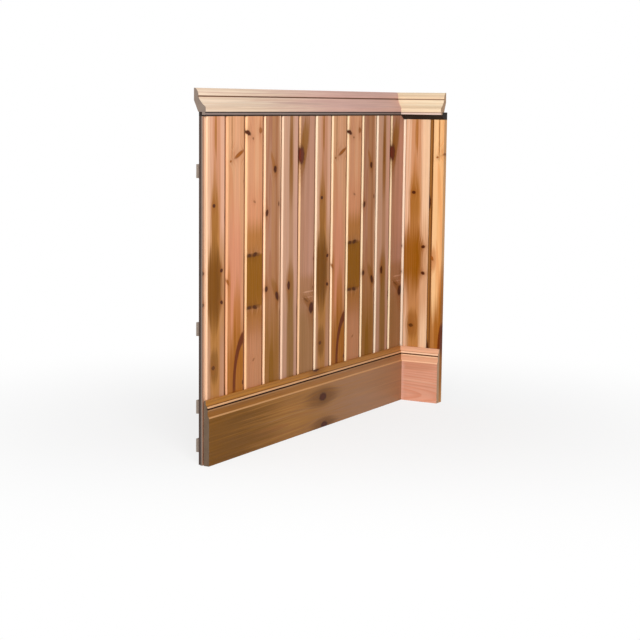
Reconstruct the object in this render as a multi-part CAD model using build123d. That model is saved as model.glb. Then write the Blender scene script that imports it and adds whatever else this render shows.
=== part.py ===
from build123d import *
from math import ceil
import os

# Corner of knotty pine wall panelling: a long run and a short run of tongued and grooved boards
# that meet in an inside corner, with a sprung dado rail along the top and a skirting at the foot.
# Each run is drawn in its own frame: x along the run to the viewer's right, y from the board
# faces back towards the wall, z up. The long run keeps that frame, the short run is turned.

# Whole panelling
overall_height = 906.0
long_run_length = 1056.0
short_run_length = 131.0

# Tongued and grooved boards
cover = 88.0
board_thickness = 18.0
tongue_front = 4.0
tongue_thickness = 6.5
tongue_reach = 12.6
tongue_ease = 0.8
shoulder_reach = 4.7
lip_lap = 3.6
bevel = 2.8
joint_clearance = 0.2
groove_end_clearance = 1.0
back_joint_gap = 0.5
corner_reveal = 6.5

# Battens behind the boards
batten_thickness = 11.0
batten_height = 33.0
batten_inset = 10.0
lower_batten_centres = [46.0, 141.0, 331.0]
top_batten_drop = 129.5

# Dado rail, its heights one below the other from the top
rail_nose_height = 12.5
rail_neck_height = 5.6
rail_groove_height = 2.6
rail_cove_height = 23.5
rail_fascia_ease = 0.4
rail_fascia_height = 11.4
rail_quirk_height = 2.2
rail_lip_height = 7.0
rail_back_height = 28.6
rail_depth = 33.4
rail_right_forward = 21.0
rail_top_width = 4.5
rail_neck = 12.5
rail_groove_depth = 1.8
rail_cove_reach = 33.0
rail_nose_rise = 0.8
rail_cove_sag = 2.0
rail_quirk_depth = 2.0
rail_lip_back = 23.0
rail_lip_set_back = 1.0
rail_lip_ease = 1.2
rail_seat_back = 12.0

# Bed strip between the board tops and the rail
bed_height_left = 3.5
bed_height_right = 14.0
bed_nose_left = 2.0
bed_nose_right = 21.0

# Skirting, its moulded heights one below the other from the top
skirting_height = 160.0
skirting_cap_height = 13.5
skirting_upper_bead = 5.5
skirting_groove_height = 3.0
skirting_middle_bead = 4.0
skirting_cove_height = 13.0
skirting_lower_bead = 4.5
skirting_thickness = 15.0
skirting_lower_bead_reach = 2.0
skirting_cove_reach = 1.8
skirting_middle_bead_reach = 0.6
skirting_groove_depth = 2.2
skirting_upper_bead_reach = 2.0
skirting_quirk_depth = 0.8
skirting_cap_out = 5.5
skirting_bead_rise = 1.0
skirting_cove_sag = 1.4

# Levels from the floor
rail_neck_top = overall_height - rail_nose_height
rail_groove_top = rail_neck_top - rail_neck_height
rail_cove_top = rail_groove_top - rail_groove_height
rail_cove_foot = rail_cove_top - rail_cove_height
rail_fascia_top = rail_cove_foot - rail_fascia_ease
rail_seat = rail_fascia_top - rail_fascia_height
rail_foot = rail_seat - rail_lip_height
left_boards_top = rail_foot - bed_height_left
right_boards_top = rail_foot - bed_height_right
batten_centres = lower_batten_centres + [left_boards_top - top_batten_drop]

# Places along and behind the runs
wall_plane = board_thickness + batten_thickness
tongue_back = tongue_front + tongue_thickness
last_lip = long_run_length + lip_lap
corner = last_lip - tongue_front
right_first_tip = corner_reveal - tongue_reach
rail_back_left = wall_plane
rail_back_right = wall_plane - rail_right_forward

middle_x = (corner + wall_plane) / 2
middle_y = (wall_plane - short_run_length) / 2
long_run = Location((-middle_x, -middle_y, 0))
short_run = Location((corner - middle_x, -middle_y, 0), (0, 0, -90))


def board_section():
    """Section of one board, its tongue's tip at x = 0 and its face on y = 0."""
    groove_bottom = cover - groove_end_clearance
    groove_front = tongue_front - joint_clearance
    groove_back = tongue_back + joint_clearance
    lip_end = cover + lip_lap
    back_end = cover + shoulder_reach - back_joint_gap
    outline = Polyline(
        (tongue_ease, tongue_front),
        (0, tongue_front + tongue_ease),
        (0, tongue_back - tongue_ease),
        (tongue_ease, tongue_back),
        (shoulder_reach, tongue_back),
        (shoulder_reach, board_thickness),
        (back_end, board_thickness),
        (back_end, groove_back),
        (groove_bottom, groove_back),
        (groove_bottom, groove_front),
        (lip_end, groove_front),
        (lip_end, bevel),
        (lip_end - bevel, 0),
        (tongue_reach + bevel, 0),
        (tongue_reach, bevel),
        (tongue_reach, tongue_front),
        close=True,
    )
    return make_face(outline)


def boards(first_tip, end, height):
    """Boards side by side, each tongue in the groove of the one before, the last one cut at end."""
    first_face = first_tip + tongue_reach + bevel
    count = ceil((end - first_face) / cover)
    section = board_section()
    cut = Plane(origin=(end, 0, 0), z_dir=(1, 0, 0))
    laid = [extrude(Pos(first_tip + i * cover, 0, 0) * section, amount=height) for i in range(count)]
    return [split(board, bisect_by=cut, keep=Keep.BOTTOM) for board in laid]


def carried(outline, start, end):
    """A section, drawn as (out from the board faces, height), carried along its run."""
    plane = Plane(origin=(end, 0, 0), x_dir=(0, -1, 0), z_dir=(-1, 0, 0))
    return extrude(plane * make_face(outline), amount=end - start)


def mitred(piece, x, y, side):
    """Cut a moulding on the corner's mitre, which passes through (x, y) in the run's frame."""
    plane = Plane(origin=(x, y, 0), z_dir=(1, -side, 0))
    return split(piece, bisect_by=plane, keep=Keep.BOTTOM if side > 0 else Keep.TOP)


def rail_outline(back):
    """Dado rail: a rounded top, a groove, a cove down to the fascia, and a lip over the boards."""
    front = rail_depth - back
    lip_front = front - rail_lip_set_back
    quirk_bottom = rail_seat - rail_quirk_height

    def at(out, height):
        return (out - back, height)

    top = Polyline(
        at(0, overall_height - rail_back_height),
        at(0, overall_height),
        at(rail_top_width, overall_height),
    )
    nose = SagittaArc(
        at(rail_top_width, overall_height),
        at(rail_neck, rail_neck_top),
        rail_nose_rise,
    )
    neck = Polyline(
        at(rail_neck, rail_neck_top),
        at(rail_neck, rail_groove_top),
        at(rail_neck - rail_groove_depth, rail_groove_top),
        at(rail_neck - rail_groove_depth, rail_cove_top),
        at(rail_neck, rail_cove_top),
    )
    cove = SagittaArc(
        at(rail_neck, rail_cove_top),
        at(rail_cove_reach, rail_cove_foot),
        -rail_cove_sag,
    )
    foot = Polyline(
        at(rail_cove_reach, rail_cove_foot),
        at(rail_depth, rail_fascia_top),
        at(rail_depth, rail_seat),
        (front - rail_quirk_depth, rail_seat),
        (front - rail_quirk_depth, quirk_bottom),
        (lip_front, quirk_bottom),
        (lip_front, rail_foot + rail_lip_ease),
        (lip_front - rail_lip_ease, rail_foot),
        at(rail_lip_back, rail_foot),
        at(rail_lip_back, rail_seat),
        at(rail_seat_back, rail_seat),
        at(0, overall_height - rail_back_height),
    )
    return top + nose + neck + cove + foot


def bed_outline(nose, boards_top, back):
    """Bed strip: on the board tops, up behind the rail's lip, its nose sloping to the faces."""
    lip = rail_lip_back - back
    seat_back = max(board_thickness, back - rail_seat_back)
    return Polyline(
        (0, boards_top),
        (nose, rail_foot),
        (lip, rail_foot),
        (lip, rail_seat),
        (-seat_back, rail_seat),
        (-seat_back, boards_top),
        close=True,
    )


def skirting_outline():
    """Skirting: a flat face, a bead, a cove, a bead, a groove, a bead, a quirk and a hollow cap."""
    cap_foot = skirting_height - skirting_cap_height
    groove_top = cap_foot - skirting_upper_bead
    groove_foot = groove_top - skirting_groove_height
    cove_top = groove_foot - skirting_middle_bead
    cove_foot = cove_top - skirting_cove_height
    flat_top = cove_foot - skirting_lower_bead
    cove_out = skirting_thickness - skirting_lower_bead_reach
    middle_bead_out = cove_out - skirting_cove_reach
    groove_mouth = middle_bead_out - skirting_middle_bead_reach
    groove_bottom = groove_mouth - skirting_groove_depth
    quirk_out = groove_mouth - skirting_upper_bead_reach
    cap_foot_out = quirk_out - skirting_quirk_depth
    flat = Polyline(
        (skirting_cap_out, skirting_height),
        (0, skirting_height),
        (0, 0),
        (skirting_thickness, 0),
        (skirting_thickness, flat_top),
    )
    lower_bead = SagittaArc((skirting_thickness, flat_top), (cove_out, cove_foot), -skirting_bead_rise)
    cove = SagittaArc((cove_out, cove_foot), (middle_bead_out, cove_top), skirting_cove_sag)
    middle_bead = SagittaArc(
        (middle_bead_out, cove_top),
        (groove_mouth, groove_foot),
        -skirting_bead_rise,
    )
    groove = Polyline(
        (groove_mouth, groove_foot),
        (groove_bottom, groove_foot),
        (groove_bottom, groove_top),
        (groove_mouth, groove_top),
    )
    upper_bead = SagittaArc((groove_mouth, groove_top), (quirk_out, cap_foot), -skirting_bead_rise)
    quirk = Line((quirk_out, cap_foot), (cap_foot_out, cap_foot))
    cap = SagittaArc(
        (cap_foot_out, cap_foot),
        (skirting_cap_out, skirting_height),
        skirting_cove_sag,
    )
    return flat + lower_bead + cove + middle_bead + groove + upper_bead + quirk + cap


def batten(centre, start, end):
    """One batten, flat against the backs of the boards."""
    middle = ((start + end) / 2, board_thickness + batten_thickness / 2, centre)
    return Pos(*middle) * Box(end - start, batten_thickness, batten_height)


def long_run_pieces():
    """Every piece of the long run, by name."""
    pieces = {}
    for i, board in enumerate(boards(0, last_lip, left_boards_top)):
        pieces[f"board_left_{i + 1:02d}"] = board
    past_corner = corner + wall_plane
    for i, centre in enumerate(batten_centres):
        pieces[f"batten_left_{i + 1}"] = batten(centre, batten_inset, past_corner)
    rail = carried(rail_outline(rail_back_left), 0, past_corner)
    pieces["dado_rail_left"] = mitred(rail, corner - rail_right_forward, 0, 1)
    pieces["skirting_left"] = mitred(carried(skirting_outline(), 0, corner), corner, 0, 1)
    bed_section = bed_outline(bed_nose_left, left_boards_top, rail_back_left)
    bed = carried(bed_section, shoulder_reach, corner)
    nose_clear = Pos(corner, -bed_nose_left, rail_foot) * Box(
        2 * bed_nose_right, 2 * bed_nose_left, 2 * bed_height_left
    )
    pieces["bed_strip_left"] = bed - nose_clear
    return pieces


def short_run_pieces():
    """Every piece of the short run, by name, ended square by a plain saw cut."""
    pieces = {}
    for i, board in enumerate(boards(right_first_tip, short_run_length, right_boards_top)):
        pieces[f"board_right_{i + 1:02d}"] = board
    for i, centre in enumerate(batten_centres):
        far_end = short_run_length - batten_inset
        pieces[f"batten_right_{i + 1}"] = batten(centre, -board_thickness, far_end)
    behind_corner = -2 * wall_plane
    rail = carried(rail_outline(rail_back_right), behind_corner, short_run_length)
    pieces["dado_rail_right"] = mitred(rail, -rail_right_forward, 0, -1)
    skirting = carried(skirting_outline(), 0, short_run_length)
    pieces["skirting_right"] = mitred(skirting, 0, 0, -1)
    bed = bed_outline(bed_nose_right, right_boards_top, rail_back_right)
    pieces["bed_strip_right"] = carried(bed, 0, short_run_length)
    return pieces


os.makedirs("parts", exist_ok=True)
for name, piece in long_run_pieces().items():
    export_step(long_run * piece, f"parts/{name}.step")
for name, piece in short_run_pieces().items():
    export_step(short_run * piece, f"parts/{name}.step")
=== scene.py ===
import math

import bpy
import numpy as np
from mathutils import Matrix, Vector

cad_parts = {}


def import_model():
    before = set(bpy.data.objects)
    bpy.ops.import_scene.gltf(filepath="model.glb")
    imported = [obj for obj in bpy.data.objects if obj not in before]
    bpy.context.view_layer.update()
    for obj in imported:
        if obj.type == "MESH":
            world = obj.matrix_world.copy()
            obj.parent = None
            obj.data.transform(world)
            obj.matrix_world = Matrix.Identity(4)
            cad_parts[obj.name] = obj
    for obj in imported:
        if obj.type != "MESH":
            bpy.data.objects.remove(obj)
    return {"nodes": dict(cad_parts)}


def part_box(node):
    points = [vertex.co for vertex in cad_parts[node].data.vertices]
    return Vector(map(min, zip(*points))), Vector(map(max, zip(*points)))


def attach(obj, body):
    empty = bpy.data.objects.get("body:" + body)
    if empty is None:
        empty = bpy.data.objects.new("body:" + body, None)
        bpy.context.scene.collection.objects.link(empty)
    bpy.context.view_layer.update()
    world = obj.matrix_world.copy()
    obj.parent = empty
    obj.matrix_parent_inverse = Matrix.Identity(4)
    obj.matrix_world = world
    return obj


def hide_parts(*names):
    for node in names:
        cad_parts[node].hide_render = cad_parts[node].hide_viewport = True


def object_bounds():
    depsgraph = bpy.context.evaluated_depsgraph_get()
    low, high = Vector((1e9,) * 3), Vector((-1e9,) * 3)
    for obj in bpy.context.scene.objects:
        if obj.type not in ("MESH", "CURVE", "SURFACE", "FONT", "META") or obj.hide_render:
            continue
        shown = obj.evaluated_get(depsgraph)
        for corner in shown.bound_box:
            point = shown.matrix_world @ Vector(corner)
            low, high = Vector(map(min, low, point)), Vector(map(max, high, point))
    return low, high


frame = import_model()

CAD_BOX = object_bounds()
MM = 0.001

# The panelling stands with its long run facing -Y and its short run facing -X.
# Run coordinates, in millimetres: x along the run to the viewer's right, y back from the board
# faces, z up. The long run starts at the first tongue's tip, the short run at the corner.
COVER = 88.0
LIP_LAP = 3.6
WALL_PLANE = 29.0
TONGUE_FRONT = 4.0
TONGUE_BACK = 10.5
TONGUE_REACH = 12.6
SHOULDER_REACH = 4.7
BEVEL = 2.8
BOARD_THICKNESS = 18.0
JOINT_CLEARANCE = 0.2
END_CLEARANCE = 1.0
BACK_JOINT = 0.5
TONGUE_EASE = 0.8
LONG_COUNT = 12
SHORT_COUNT = 2
CORNER = LONG_COUNT * COVER + LIP_LAP - TONGUE_FRONT
SHORT_FIRST_TIP = 6.5 - TONGUE_REACH
RIGHT_FORWARD = 21.0

LOW, HIGH = (np.array(v) / MM for v in CAD_BOX)
LONG_ZERO = (LOW[0], HIGH[1] - WALL_PLANE)
SHORT_ZERO = (HIGH[0] - WALL_PLANE, HIGH[1] - WALL_PLANE)
SHORT_LENGTH = SHORT_ZERO[1] - LOW[1]
TOP = HIGH[2]


def in_part(points, run):
    """Run coordinates in millimetres as part coordinates in metres: the long run is shifted,
    the short run is turned a quarter so that its x points to -Y and its y to +X."""
    x, y, z = points[..., 0], points[..., 1], points[..., 2]
    if run == "long":
        placed = (LONG_ZERO[0] + x, LONG_ZERO[1] + y, z)
    else:
        placed = (SHORT_ZERO[0] + y, SHORT_ZERO[1] - x, z)
    return np.stack(placed, axis=-1) * MM


# Outlines and swept pieces

def arc(start, end, rise, count=7):
    """Points after start up to end on the circular arc whose middle stands rise to the left of
    the chord: each is the chord's point plus rise * (1 - t * t) along its normal, t from -1 to 1."""
    start, end = np.array(start, float), np.array(end, float)
    chord = end - start
    normal = np.array((-chord[1], chord[0])) / np.linalg.norm(chord)
    t = np.linspace(-1, 1, count + 1)[1:, None]
    return start + chord * (t + 1) / 2 + normal * rise * (1 - t * t)


def path(*pieces):
    """One outline from points and rows of points."""
    return np.vstack([np.atleast_2d(np.array(p, float)) for p in pieces])


def signed_area(outline):
    """Half the sum of the cross products of neighbouring points, above zero when anticlockwise."""
    after = np.roll(outline, -1, axis=0)
    return 0.5 * np.sum(outline[:, 0] * after[:, 1] - after[:, 0] * outline[:, 1])


def eased(outline, radius, sharpest=25.0, count=3):
    """The outline with each outward corner rounded: the corner c gives way to points of the curve
    (1-t)^2 a + 2t(1-t) c + t^2 b, where a and b lie radius away from it on its two sides."""
    if signed_area(outline) < 0:
        outline = outline[::-1]
    before = np.roll(outline, 1, axis=0) - outline
    after = np.roll(outline, -1, axis=0) - outline
    size_before = np.linalg.norm(before, axis=1)
    size_after = np.linalg.norm(after, axis=1)
    turn = np.cross(-before, after) / (size_before * size_after)
    reach = np.minimum(radius, 0.4 * np.minimum(size_before, size_after))
    t = np.linspace(0, 1, count + 1)[:, None]
    rounded = []
    for i, corner in enumerate(outline):
        if turn[i] < math.sin(math.radians(sharpest)):
            rounded.append(corner[None])
            continue
        a = corner + before[i] / size_before[i] * reach[i]
        b = corner + after[i] / size_after[i] * reach[i]
        rounded.append((1 - t) ** 2 * a + 2 * t * (1 - t) * corner + t * t * b)
    return np.vstack(rounded)


def divided(outline, longest):
    """The closed outline with its long sides cut into equal steps no longer than longest."""
    after = np.roll(outline, -1, axis=0)
    rows = []
    for a, b in zip(outline, after):
        steps = max(1, math.ceil(np.linalg.norm(b - a) / longest))
        rows.append(a + (b - a) * np.arange(steps)[:, None] / steps)
    return np.vstack(rows)


def closed_mesh(name, grid, run, materials, smooth_angle=32.0):
    """A closed mesh from a grid of rows, each row one whole outline: neighbouring rows are joined
    by four-sided faces, and the first and last row are closed by one many-sided face each."""
    rows, around = grid.shape[:2]
    k = np.arange(rows - 1)[:, None] * around
    i = np.arange(around)[None]
    j = (i + 1) % around
    quads = np.stack((k + i, k + j, k + around + j, k + around + i), axis=-1).reshape(-1, 4)
    caps = [list(range(around))[::-1], list(range((rows - 1) * around, rows * around))]
    points = in_part(grid, run).reshape(-1, 3)
    a, b, c = (points[quads[:, n]] for n in (0, 1, 2))
    if np.sum(np.cross(a, b) * c) < 0:
        quads = quads[:, ::-1]
        caps = [cap[::-1] for cap in caps]
    mesh = bpy.data.meshes.new(name)
    mesh.from_pydata(points.tolist(), [], quads.tolist() + caps)
    for material in materials:
        mesh.materials.append(material)
    if len(materials) > 1:
        mesh.polygons[len(quads)].material_index = 1
        mesh.polygons[len(quads) + 1].material_index = 1
    mesh.validate()
    mesh.shade_smooth()
    mesh.set_sharp_from_angle(angle=math.radians(smooth_angle))
    piece = bpy.data.objects.new(name, mesh)
    bpy.context.scene.collection.objects.link(piece)
    return piece


def settle(piece, node):
    """Puts a piece in the place of its CAD node."""
    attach(piece, "root")
    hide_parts(node)


# Colours and nodes

def srgb(red, green, blue):
    """A colour written as 0 to 255 in sRGB, as linear light with full opacity."""
    c = np.array((red, green, blue)) / 255
    linear = np.where(c <= 0.04045, c / 12.92, ((c + 0.055) / 1.055) ** 2.4)
    return (*(float(v) for v in linear), 1.0)


class Net:
    """Adds nodes to a node tree. A value given to a socket is linked if it is a socket itself."""

    def __init__(self, tree):
        self.tree = tree

    def feed(self, socket, value):
        if isinstance(value, bpy.types.NodeSocket):
            self.tree.links.new(value, socket)
        else:
            socket.default_value = value

    def node(self, kind, values=None, **settings):
        node = self.tree.nodes.new(kind)
        for name, value in settings.items():
            setattr(node, name, value)
        for name, value in (values or {}).items():
            self.feed(node.inputs[name], value)
        return node

    def math(self, operation, a, b=0.0, c=0.0, clamp=False):
        values = {0: a, 1: b, 2: c}
        return self.node("ShaderNodeMath", values, operation=operation, use_clamp=clamp).outputs[0]

    def plus(self, a, b, clamp=False):
        return self.math("ADD", a, b, clamp=clamp)

    def minus(self, a, b):
        return self.math("SUBTRACT", a, b)

    def times(self, a, b, clamp=False):
        return self.math("MULTIPLY", a, b, clamp=clamp)

    def times_plus(self, a, b, c):
        return self.math("MULTIPLY_ADD", a, b, c)

    def over(self, a, b):
        return self.math("DIVIDE", a, b)

    def power(self, a, b):
        return self.math("POWER", a, b)

    def length(self, a, b):
        """The root of a squared plus b squared."""
        return self.math("SQRT", self.plus(self.power(a, 2.0), self.power(b, 2.0)))

    def step(self, value, low, high, to_low=0.0, to_high=1.0):
        """A smooth step from to_low to to_high as the value goes from low to high."""
        values = {0: value, 1: low, 2: high, 3: to_low, 4: to_high}
        return self.node("ShaderNodeMapRange", values, interpolation_type="SMOOTHSTEP").outputs[0]

    def parts(self, vector):
        return self.node("ShaderNodeSeparateXYZ", {0: vector}).outputs

    def vector(self, x, y, z=0.0):
        return self.node("ShaderNodeCombineXYZ", {0: x, 1: y, 2: z}).outputs[0]

    def scaled(self, vector, factors):
        return self.node("ShaderNodeVectorMath", {0: vector, 1: factors}, operation="MULTIPLY").outputs[0]

    def noise(self, vector, scale=1.0, detail=2.0, roughness=0.5):
        values = {"Vector": vector, "Scale": scale, "Detail": detail, "Roughness": roughness}
        return self.node("ShaderNodeTexNoise", values).outputs[0]

    def mix(self, factor, a, b, blend="MIX"):
        node = self.node("ShaderNodeMix", data_type="RGBA", blend_type=blend)
        self.feed(node.inputs[0], factor)
        self.feed(node.inputs[6], a)
        self.feed(node.inputs[7], b)
        return node.outputs[2]

    def group(self, group, **values):
        """An instance of a node group; spaces in socket names are written as underscores."""
        node = self.tree.nodes.new("ShaderNodeGroup")
        node.node_tree = group
        for name, value in values.items():
            self.feed(node.inputs[name.replace("_", " ")], value)
        return node.outputs

    def output(self, shader, kind="ShaderNodeOutputMaterial"):
        self.feed(self.node(kind).inputs[0], shader.outputs[0])

    def surface(self, colour, rough, specular, bump, ior=1.5):
        """The material's own surface; bump is (strength, distance in metres, height)."""
        strength, distance, height = bump
        bumps = {"Strength": strength, "Distance": distance, "Height": height}
        values = {
            "Base Color": colour,
            "Roughness": rough,
            "Normal": self.node("ShaderNodeBump", bumps).outputs[0],
            "IOR": ior,
            "Specular IOR Level": specular,
        }
        self.output(self.node("ShaderNodeBsdfPrincipled", values))


def new_material(name):
    """A material without nodes, and the net to fill it."""
    material = bpy.data.materials.new(name)
    material.use_nodes = True
    material.node_tree.nodes.clear()
    return material, Net(material.node_tree)


def new_group(name, inputs, outputs, kind="Float"):
    """A node group with named sockets. An input's kind follows its default: one number, three for a
    vector, four for a colour. The outputs are all of one kind."""
    tree = bpy.data.node_groups.new(name, "ShaderNodeTree")
    for label, default in inputs.items():
        shape = "Float" if isinstance(default, float) else {3: "Vector", 4: "Color"}[len(default)]
        socket = tree.interface.new_socket(label, in_out="INPUT", socket_type=f"NodeSocket{shape}")
        socket.default_value = default
    for label in outputs:
        tree.interface.new_socket(label, in_out="OUTPUT", socket_type=f"NodeSocket{kind}")
    net = Net(tree)
    start = tree.nodes.new("NodeGroupInput").outputs
    end = tree.nodes.new("NodeGroupOutput").inputs
    return tree, net, start, end


WHITE = (1.0, 1.0, 1.0, 1.0)
ZERO = (0.0, 0.0, 0.0)


def make_rings_group():
    """Growth rings of a sawn board. The rings are cylinders about a pith line that lies behind the
    face and leans along the board, so that they show as long arches on a face and as curved lines
    on an end. Late is the dark late wood of each ring, Fibre, Streak and Broad are streaks along the
    grain, a hair, a few millimetres and a hand wide."""
    tree, net, start, end = new_group(
        "growth_rings",
        {
            "Place": ZERO, "Flow": 0.0, "Pith Across": 44.0, "Pith Depth": 40.0, "Lean": 0.03,
            "Spacing": 3.0, "Wander": 6.0, "Seed": 0.0,
        },
        ["Late", "Fibre", "Streak", "Broad"],
    )
    x, y, z = net.parts(start["Place"])
    seeded = net.plus(z, net.times(start["Seed"], 997.0))
    slow = net.noise(net.vector(net.times(x, 0.012), y, net.times(seeded, 0.0035)))
    wander = net.times(net.minus(slow, 0.5), start["Wander"])
    across = net.minus(net.minus(x, start["Flow"]), start["Pith Across"])
    across = net.plus(across, wander)
    depth = net.plus(net.plus(y, start["Pith Depth"]), net.times(z, start["Lean"]))
    radius = net.length(across, depth)
    uneven = net.noise(net.vector(net.times(radius, 0.12), start["Seed"]), 1.0, 1.0)
    radius = net.plus(radius, net.times(uneven, 9.0))
    ring = net.math("FRACT", net.over(radius, start["Spacing"]))
    rise = net.step(ring, 0.30, 0.88)
    fall = net.step(ring, 0.93, 1.0, 1.0, 0.0)
    net.feed(end["Late"], net.times(rise, fall))
    level = net.minus(x, start["Flow"])
    streaks = net.vector(level, y, net.times(seeded, 0.018))
    net.feed(end["Fibre"], net.noise(streaks, 1.15, 4.0, 0.62))
    coarse = net.vector(net.times(level, 0.24), net.times(y, 0.24),
                        net.times(seeded, 0.0038))
    net.feed(end["Streak"], net.noise(coarse, 1.0, 3.0, 0.55))
    broad = net.vector(net.times(x, 0.055), net.times(y, 0.055),
                       net.times(seeded, 0.0028))
    net.feed(end["Broad"], net.noise(broad, 1.0, 2.0, 0.5))
    return tree


def make_knot_group():
    """The shape of one knot: Reach is 0 at its heart and 1 at its rim, an ellipse of the given width
    and height turned by Turn, made uneven by noise. Trail is the stained wood above and below it,
    exp(-(across / 0.55 width)^2 - (up / 1.7 height)^2). Flow adds the push that bends the grain
    round it, strongest near the rim and fading along the board."""
    tree, net, start, end = new_group(
        "knot_shape",
        {
            "Place": ZERO, "Flow": 0.0, "Across": 0.0, "Height": 0.0, "Width": 10.0,
            "Tallness": 10.0, "Turn": 0.0,
        },
        ["Reach", "Trail", "Flow"],
    )
    x, y, z = net.parts(start["Place"])
    across = net.minus(x, start["Across"])
    up = net.minus(z, start["Height"])
    cosine = net.math("COSINE", start["Turn"])
    sine = net.math("SINE", start["Turn"])
    along = net.plus(net.times(across, cosine), net.times(up, sine))
    over = net.minus(net.times(up, cosine), net.times(across, sine))
    half_width = net.times(start["Width"], 0.5)
    half_height = net.times(start["Tallness"], 0.5)
    reach = net.length(net.over(along, half_width), net.over(over, half_height))
    bumpy = net.noise(net.scaled(start["Place"], (0.2, 0.2, 0.13)), 1.0, 3.0)
    uneven = net.plus(0.66, net.times(bumpy, 0.68))
    net.feed(end["Reach"], net.times(reach, uneven))

    def hill(wide, tall):
        a = net.power(net.over(across, net.times(start["Width"], wide)), 2.0)
        b = net.power(net.over(up, net.times(start["Tallness"], tall)), 2.0)
        return net.math("EXPONENT", net.times(net.plus(a, b), -1.0))

    net.feed(end["Trail"], net.times(hill(0.55, 1.7), net.times_plus(bumpy, 1.2, 0.2)))
    net.feed(end["Flow"], net.plus(start["Flow"], net.times(across, hill(1.1, 2.2))))
    return tree


def make_knot_colour_group():
    """One knot's colours over the wood: a warm halo round it and along the grain, a dark rim, and a
    core with rings of its own."""
    tree, net, start, end = new_group(
        "knot_colour",
        {
            "Colour": WHITE, "Reach": 2.0, "Trail": 0.0, "Core": WHITE, "Rim": WHITE,
            "Halo": WHITE, "Halo Strength": 0.5, "Strength": 1.0,
        },
        ["Colour"],
        "Color",
    )
    reach = start["Reach"]
    glow = net.math("EXPONENT", net.times(net.power(net.over(reach, 1.7), 2.0), -1.0))
    warm = net.times(net.math("MAXIMUM", glow, start["Trail"]), start["Halo Strength"], clamp=True)
    colour = net.mix(warm, start["Colour"], start["Halo"])
    inside = net.times(net.step(reach, 0.62, 1.25, 1.0, 0.0), start["Strength"])
    rings = net.math("SINE", net.times(reach, 26.0))
    core = net.mix(net.times_plus(rings, 0.16, 0.2), start["Core"], start["Rim"])
    core = net.mix(net.step(reach, 0.45, 0.9), core, start["Rim"])
    net.feed(end["Colour"], net.mix(inside, colour, core))
    return tree


def make_wash_group():
    """A stained patch in the wood; the long rail's first patch is painted shade instead. With a =
    |across| / half width and b = |up| / half height, it fades by smooth steps at a = 1 over Soft and
    at b = 1 over Fade; it leans with height, narrows by Taper * b^2, and Feather draws its sides out
    in streaks along the grain."""
    tree, net, start, end = new_group(
        "wash",
        {
            "Colour": WHITE, "Place": ZERO, "Streak": 0.5, "Tint": WHITE, "Across": 0.0,
            "Height": 0.0, "Half Width": 10.0, "Half Height": 50.0, "Lean": 0.0, "Taper": 0.3,
            "Feather": 10.0, "Soft": 0.3, "Fade": 0.5, "Strength": 0.6,
        },
        ["Colour"],
        "Color",
    )
    x, y, z = net.parts(start["Place"])
    uneven = net.minus(start["Streak"], 0.5)
    up = net.minus(z, start["Height"])
    across = net.minus(x, net.times_plus(up, start["Lean"], start["Across"]))
    b = net.math("ABSOLUTE", net.over(up, start["Half Height"]))
    narrowed = net.times(net.power(net.math("MINIMUM", b, 1.2), 2.0), start["Taper"])
    half_width = net.times(start["Half Width"], net.minus(1.0, narrowed))
    a = net.math("ABSOLUTE", across)
    a = net.over(net.times_plus(uneven, start["Feather"], a), half_width)
    b = net.times_plus(uneven, net.times(start["Fade"], 2.0), b)
    sides = net.step(a, net.minus(1.0, start["Soft"]), net.plus(1.0, start["Soft"]), 1.0, 0.0)
    ends = net.step(b, net.minus(1.0, start["Fade"]), net.plus(1.0, start["Fade"]), 1.0, 0.0)
    inside = net.times(net.times(sides, ends), start["Strength"])
    inside = net.times(inside, net.times_plus(uneven, -0.5, 1.0), clamp=True)
    net.feed(end["Colour"], net.mix(inside, start["Colour"], start["Tint"]))
    return tree


def make_band_group():
    """A milled line of painted shade or highlight, or a strip of paler wood: Tint where Value lies
    between Low and High, with edges that are smooth steps over twice Soft."""
    tree, net, start, end = new_group(
        "band",
        {
            "Colour": WHITE, "Value": 0.0, "Low": 0.0, "High": 1.0, "Soft": 0.3, "Tint": WHITE,
            "Strength": 1.0,
        },
        ["Colour"],
        "Color",
    )
    value, low, high, soft = (start[label] for label in ("Value", "Low", "High", "Soft"))
    rise = net.step(value, net.minus(low, soft), net.plus(low, soft))
    fall = net.step(value, net.minus(high, soft), net.plus(high, soft), 1.0, 0.0)
    inside = net.times(net.times(rise, fall), start["Strength"], clamp=True)
    net.feed(end["Colour"], net.mix(inside, start["Colour"], start["Tint"]))
    return tree


def make_arc_group():
    """A curved spike of dark wood: the band round an ellipse, kept only above and to the left of its
    centre, thicker towards the top."""
    tree, net, start, end = new_group(
        "curved_spike",
        {
            "Colour": WHITE, "Place": ZERO, "Fibre": 0.5, "Tint": WHITE, "Across": 0.0,
            "Height": 0.0, "Half Width": 50.0, "Half Height": 120.0, "Thickness": 0.14,
            "Strength": 1.0,
        },
        ["Colour"],
        "Color",
    )
    x, y, z = net.parts(start["Place"])
    a = net.over(net.minus(x, start["Across"]), start["Half Width"])
    b = net.over(net.minus(z, start["Height"]), start["Half Height"])
    reach = net.length(a, b)
    off = net.math("ABSOLUTE", net.minus(reach, 1.0))
    off = net.plus(off, net.times(net.minus(start["Fibre"], 0.5), 0.12))
    band = net.step(off, net.times(start["Thickness"], 0.55), start["Thickness"], 1.0, 0.0)
    band = net.times(band, net.step(a, -0.12, 0.02, 1.0, 0.0))
    band = net.times(band, net.step(b, -0.3, 0.05))
    net.feed(end["Colour"], net.mix(net.times(band, start["Strength"]), start["Colour"], start["Tint"]))
    return tree


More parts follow.
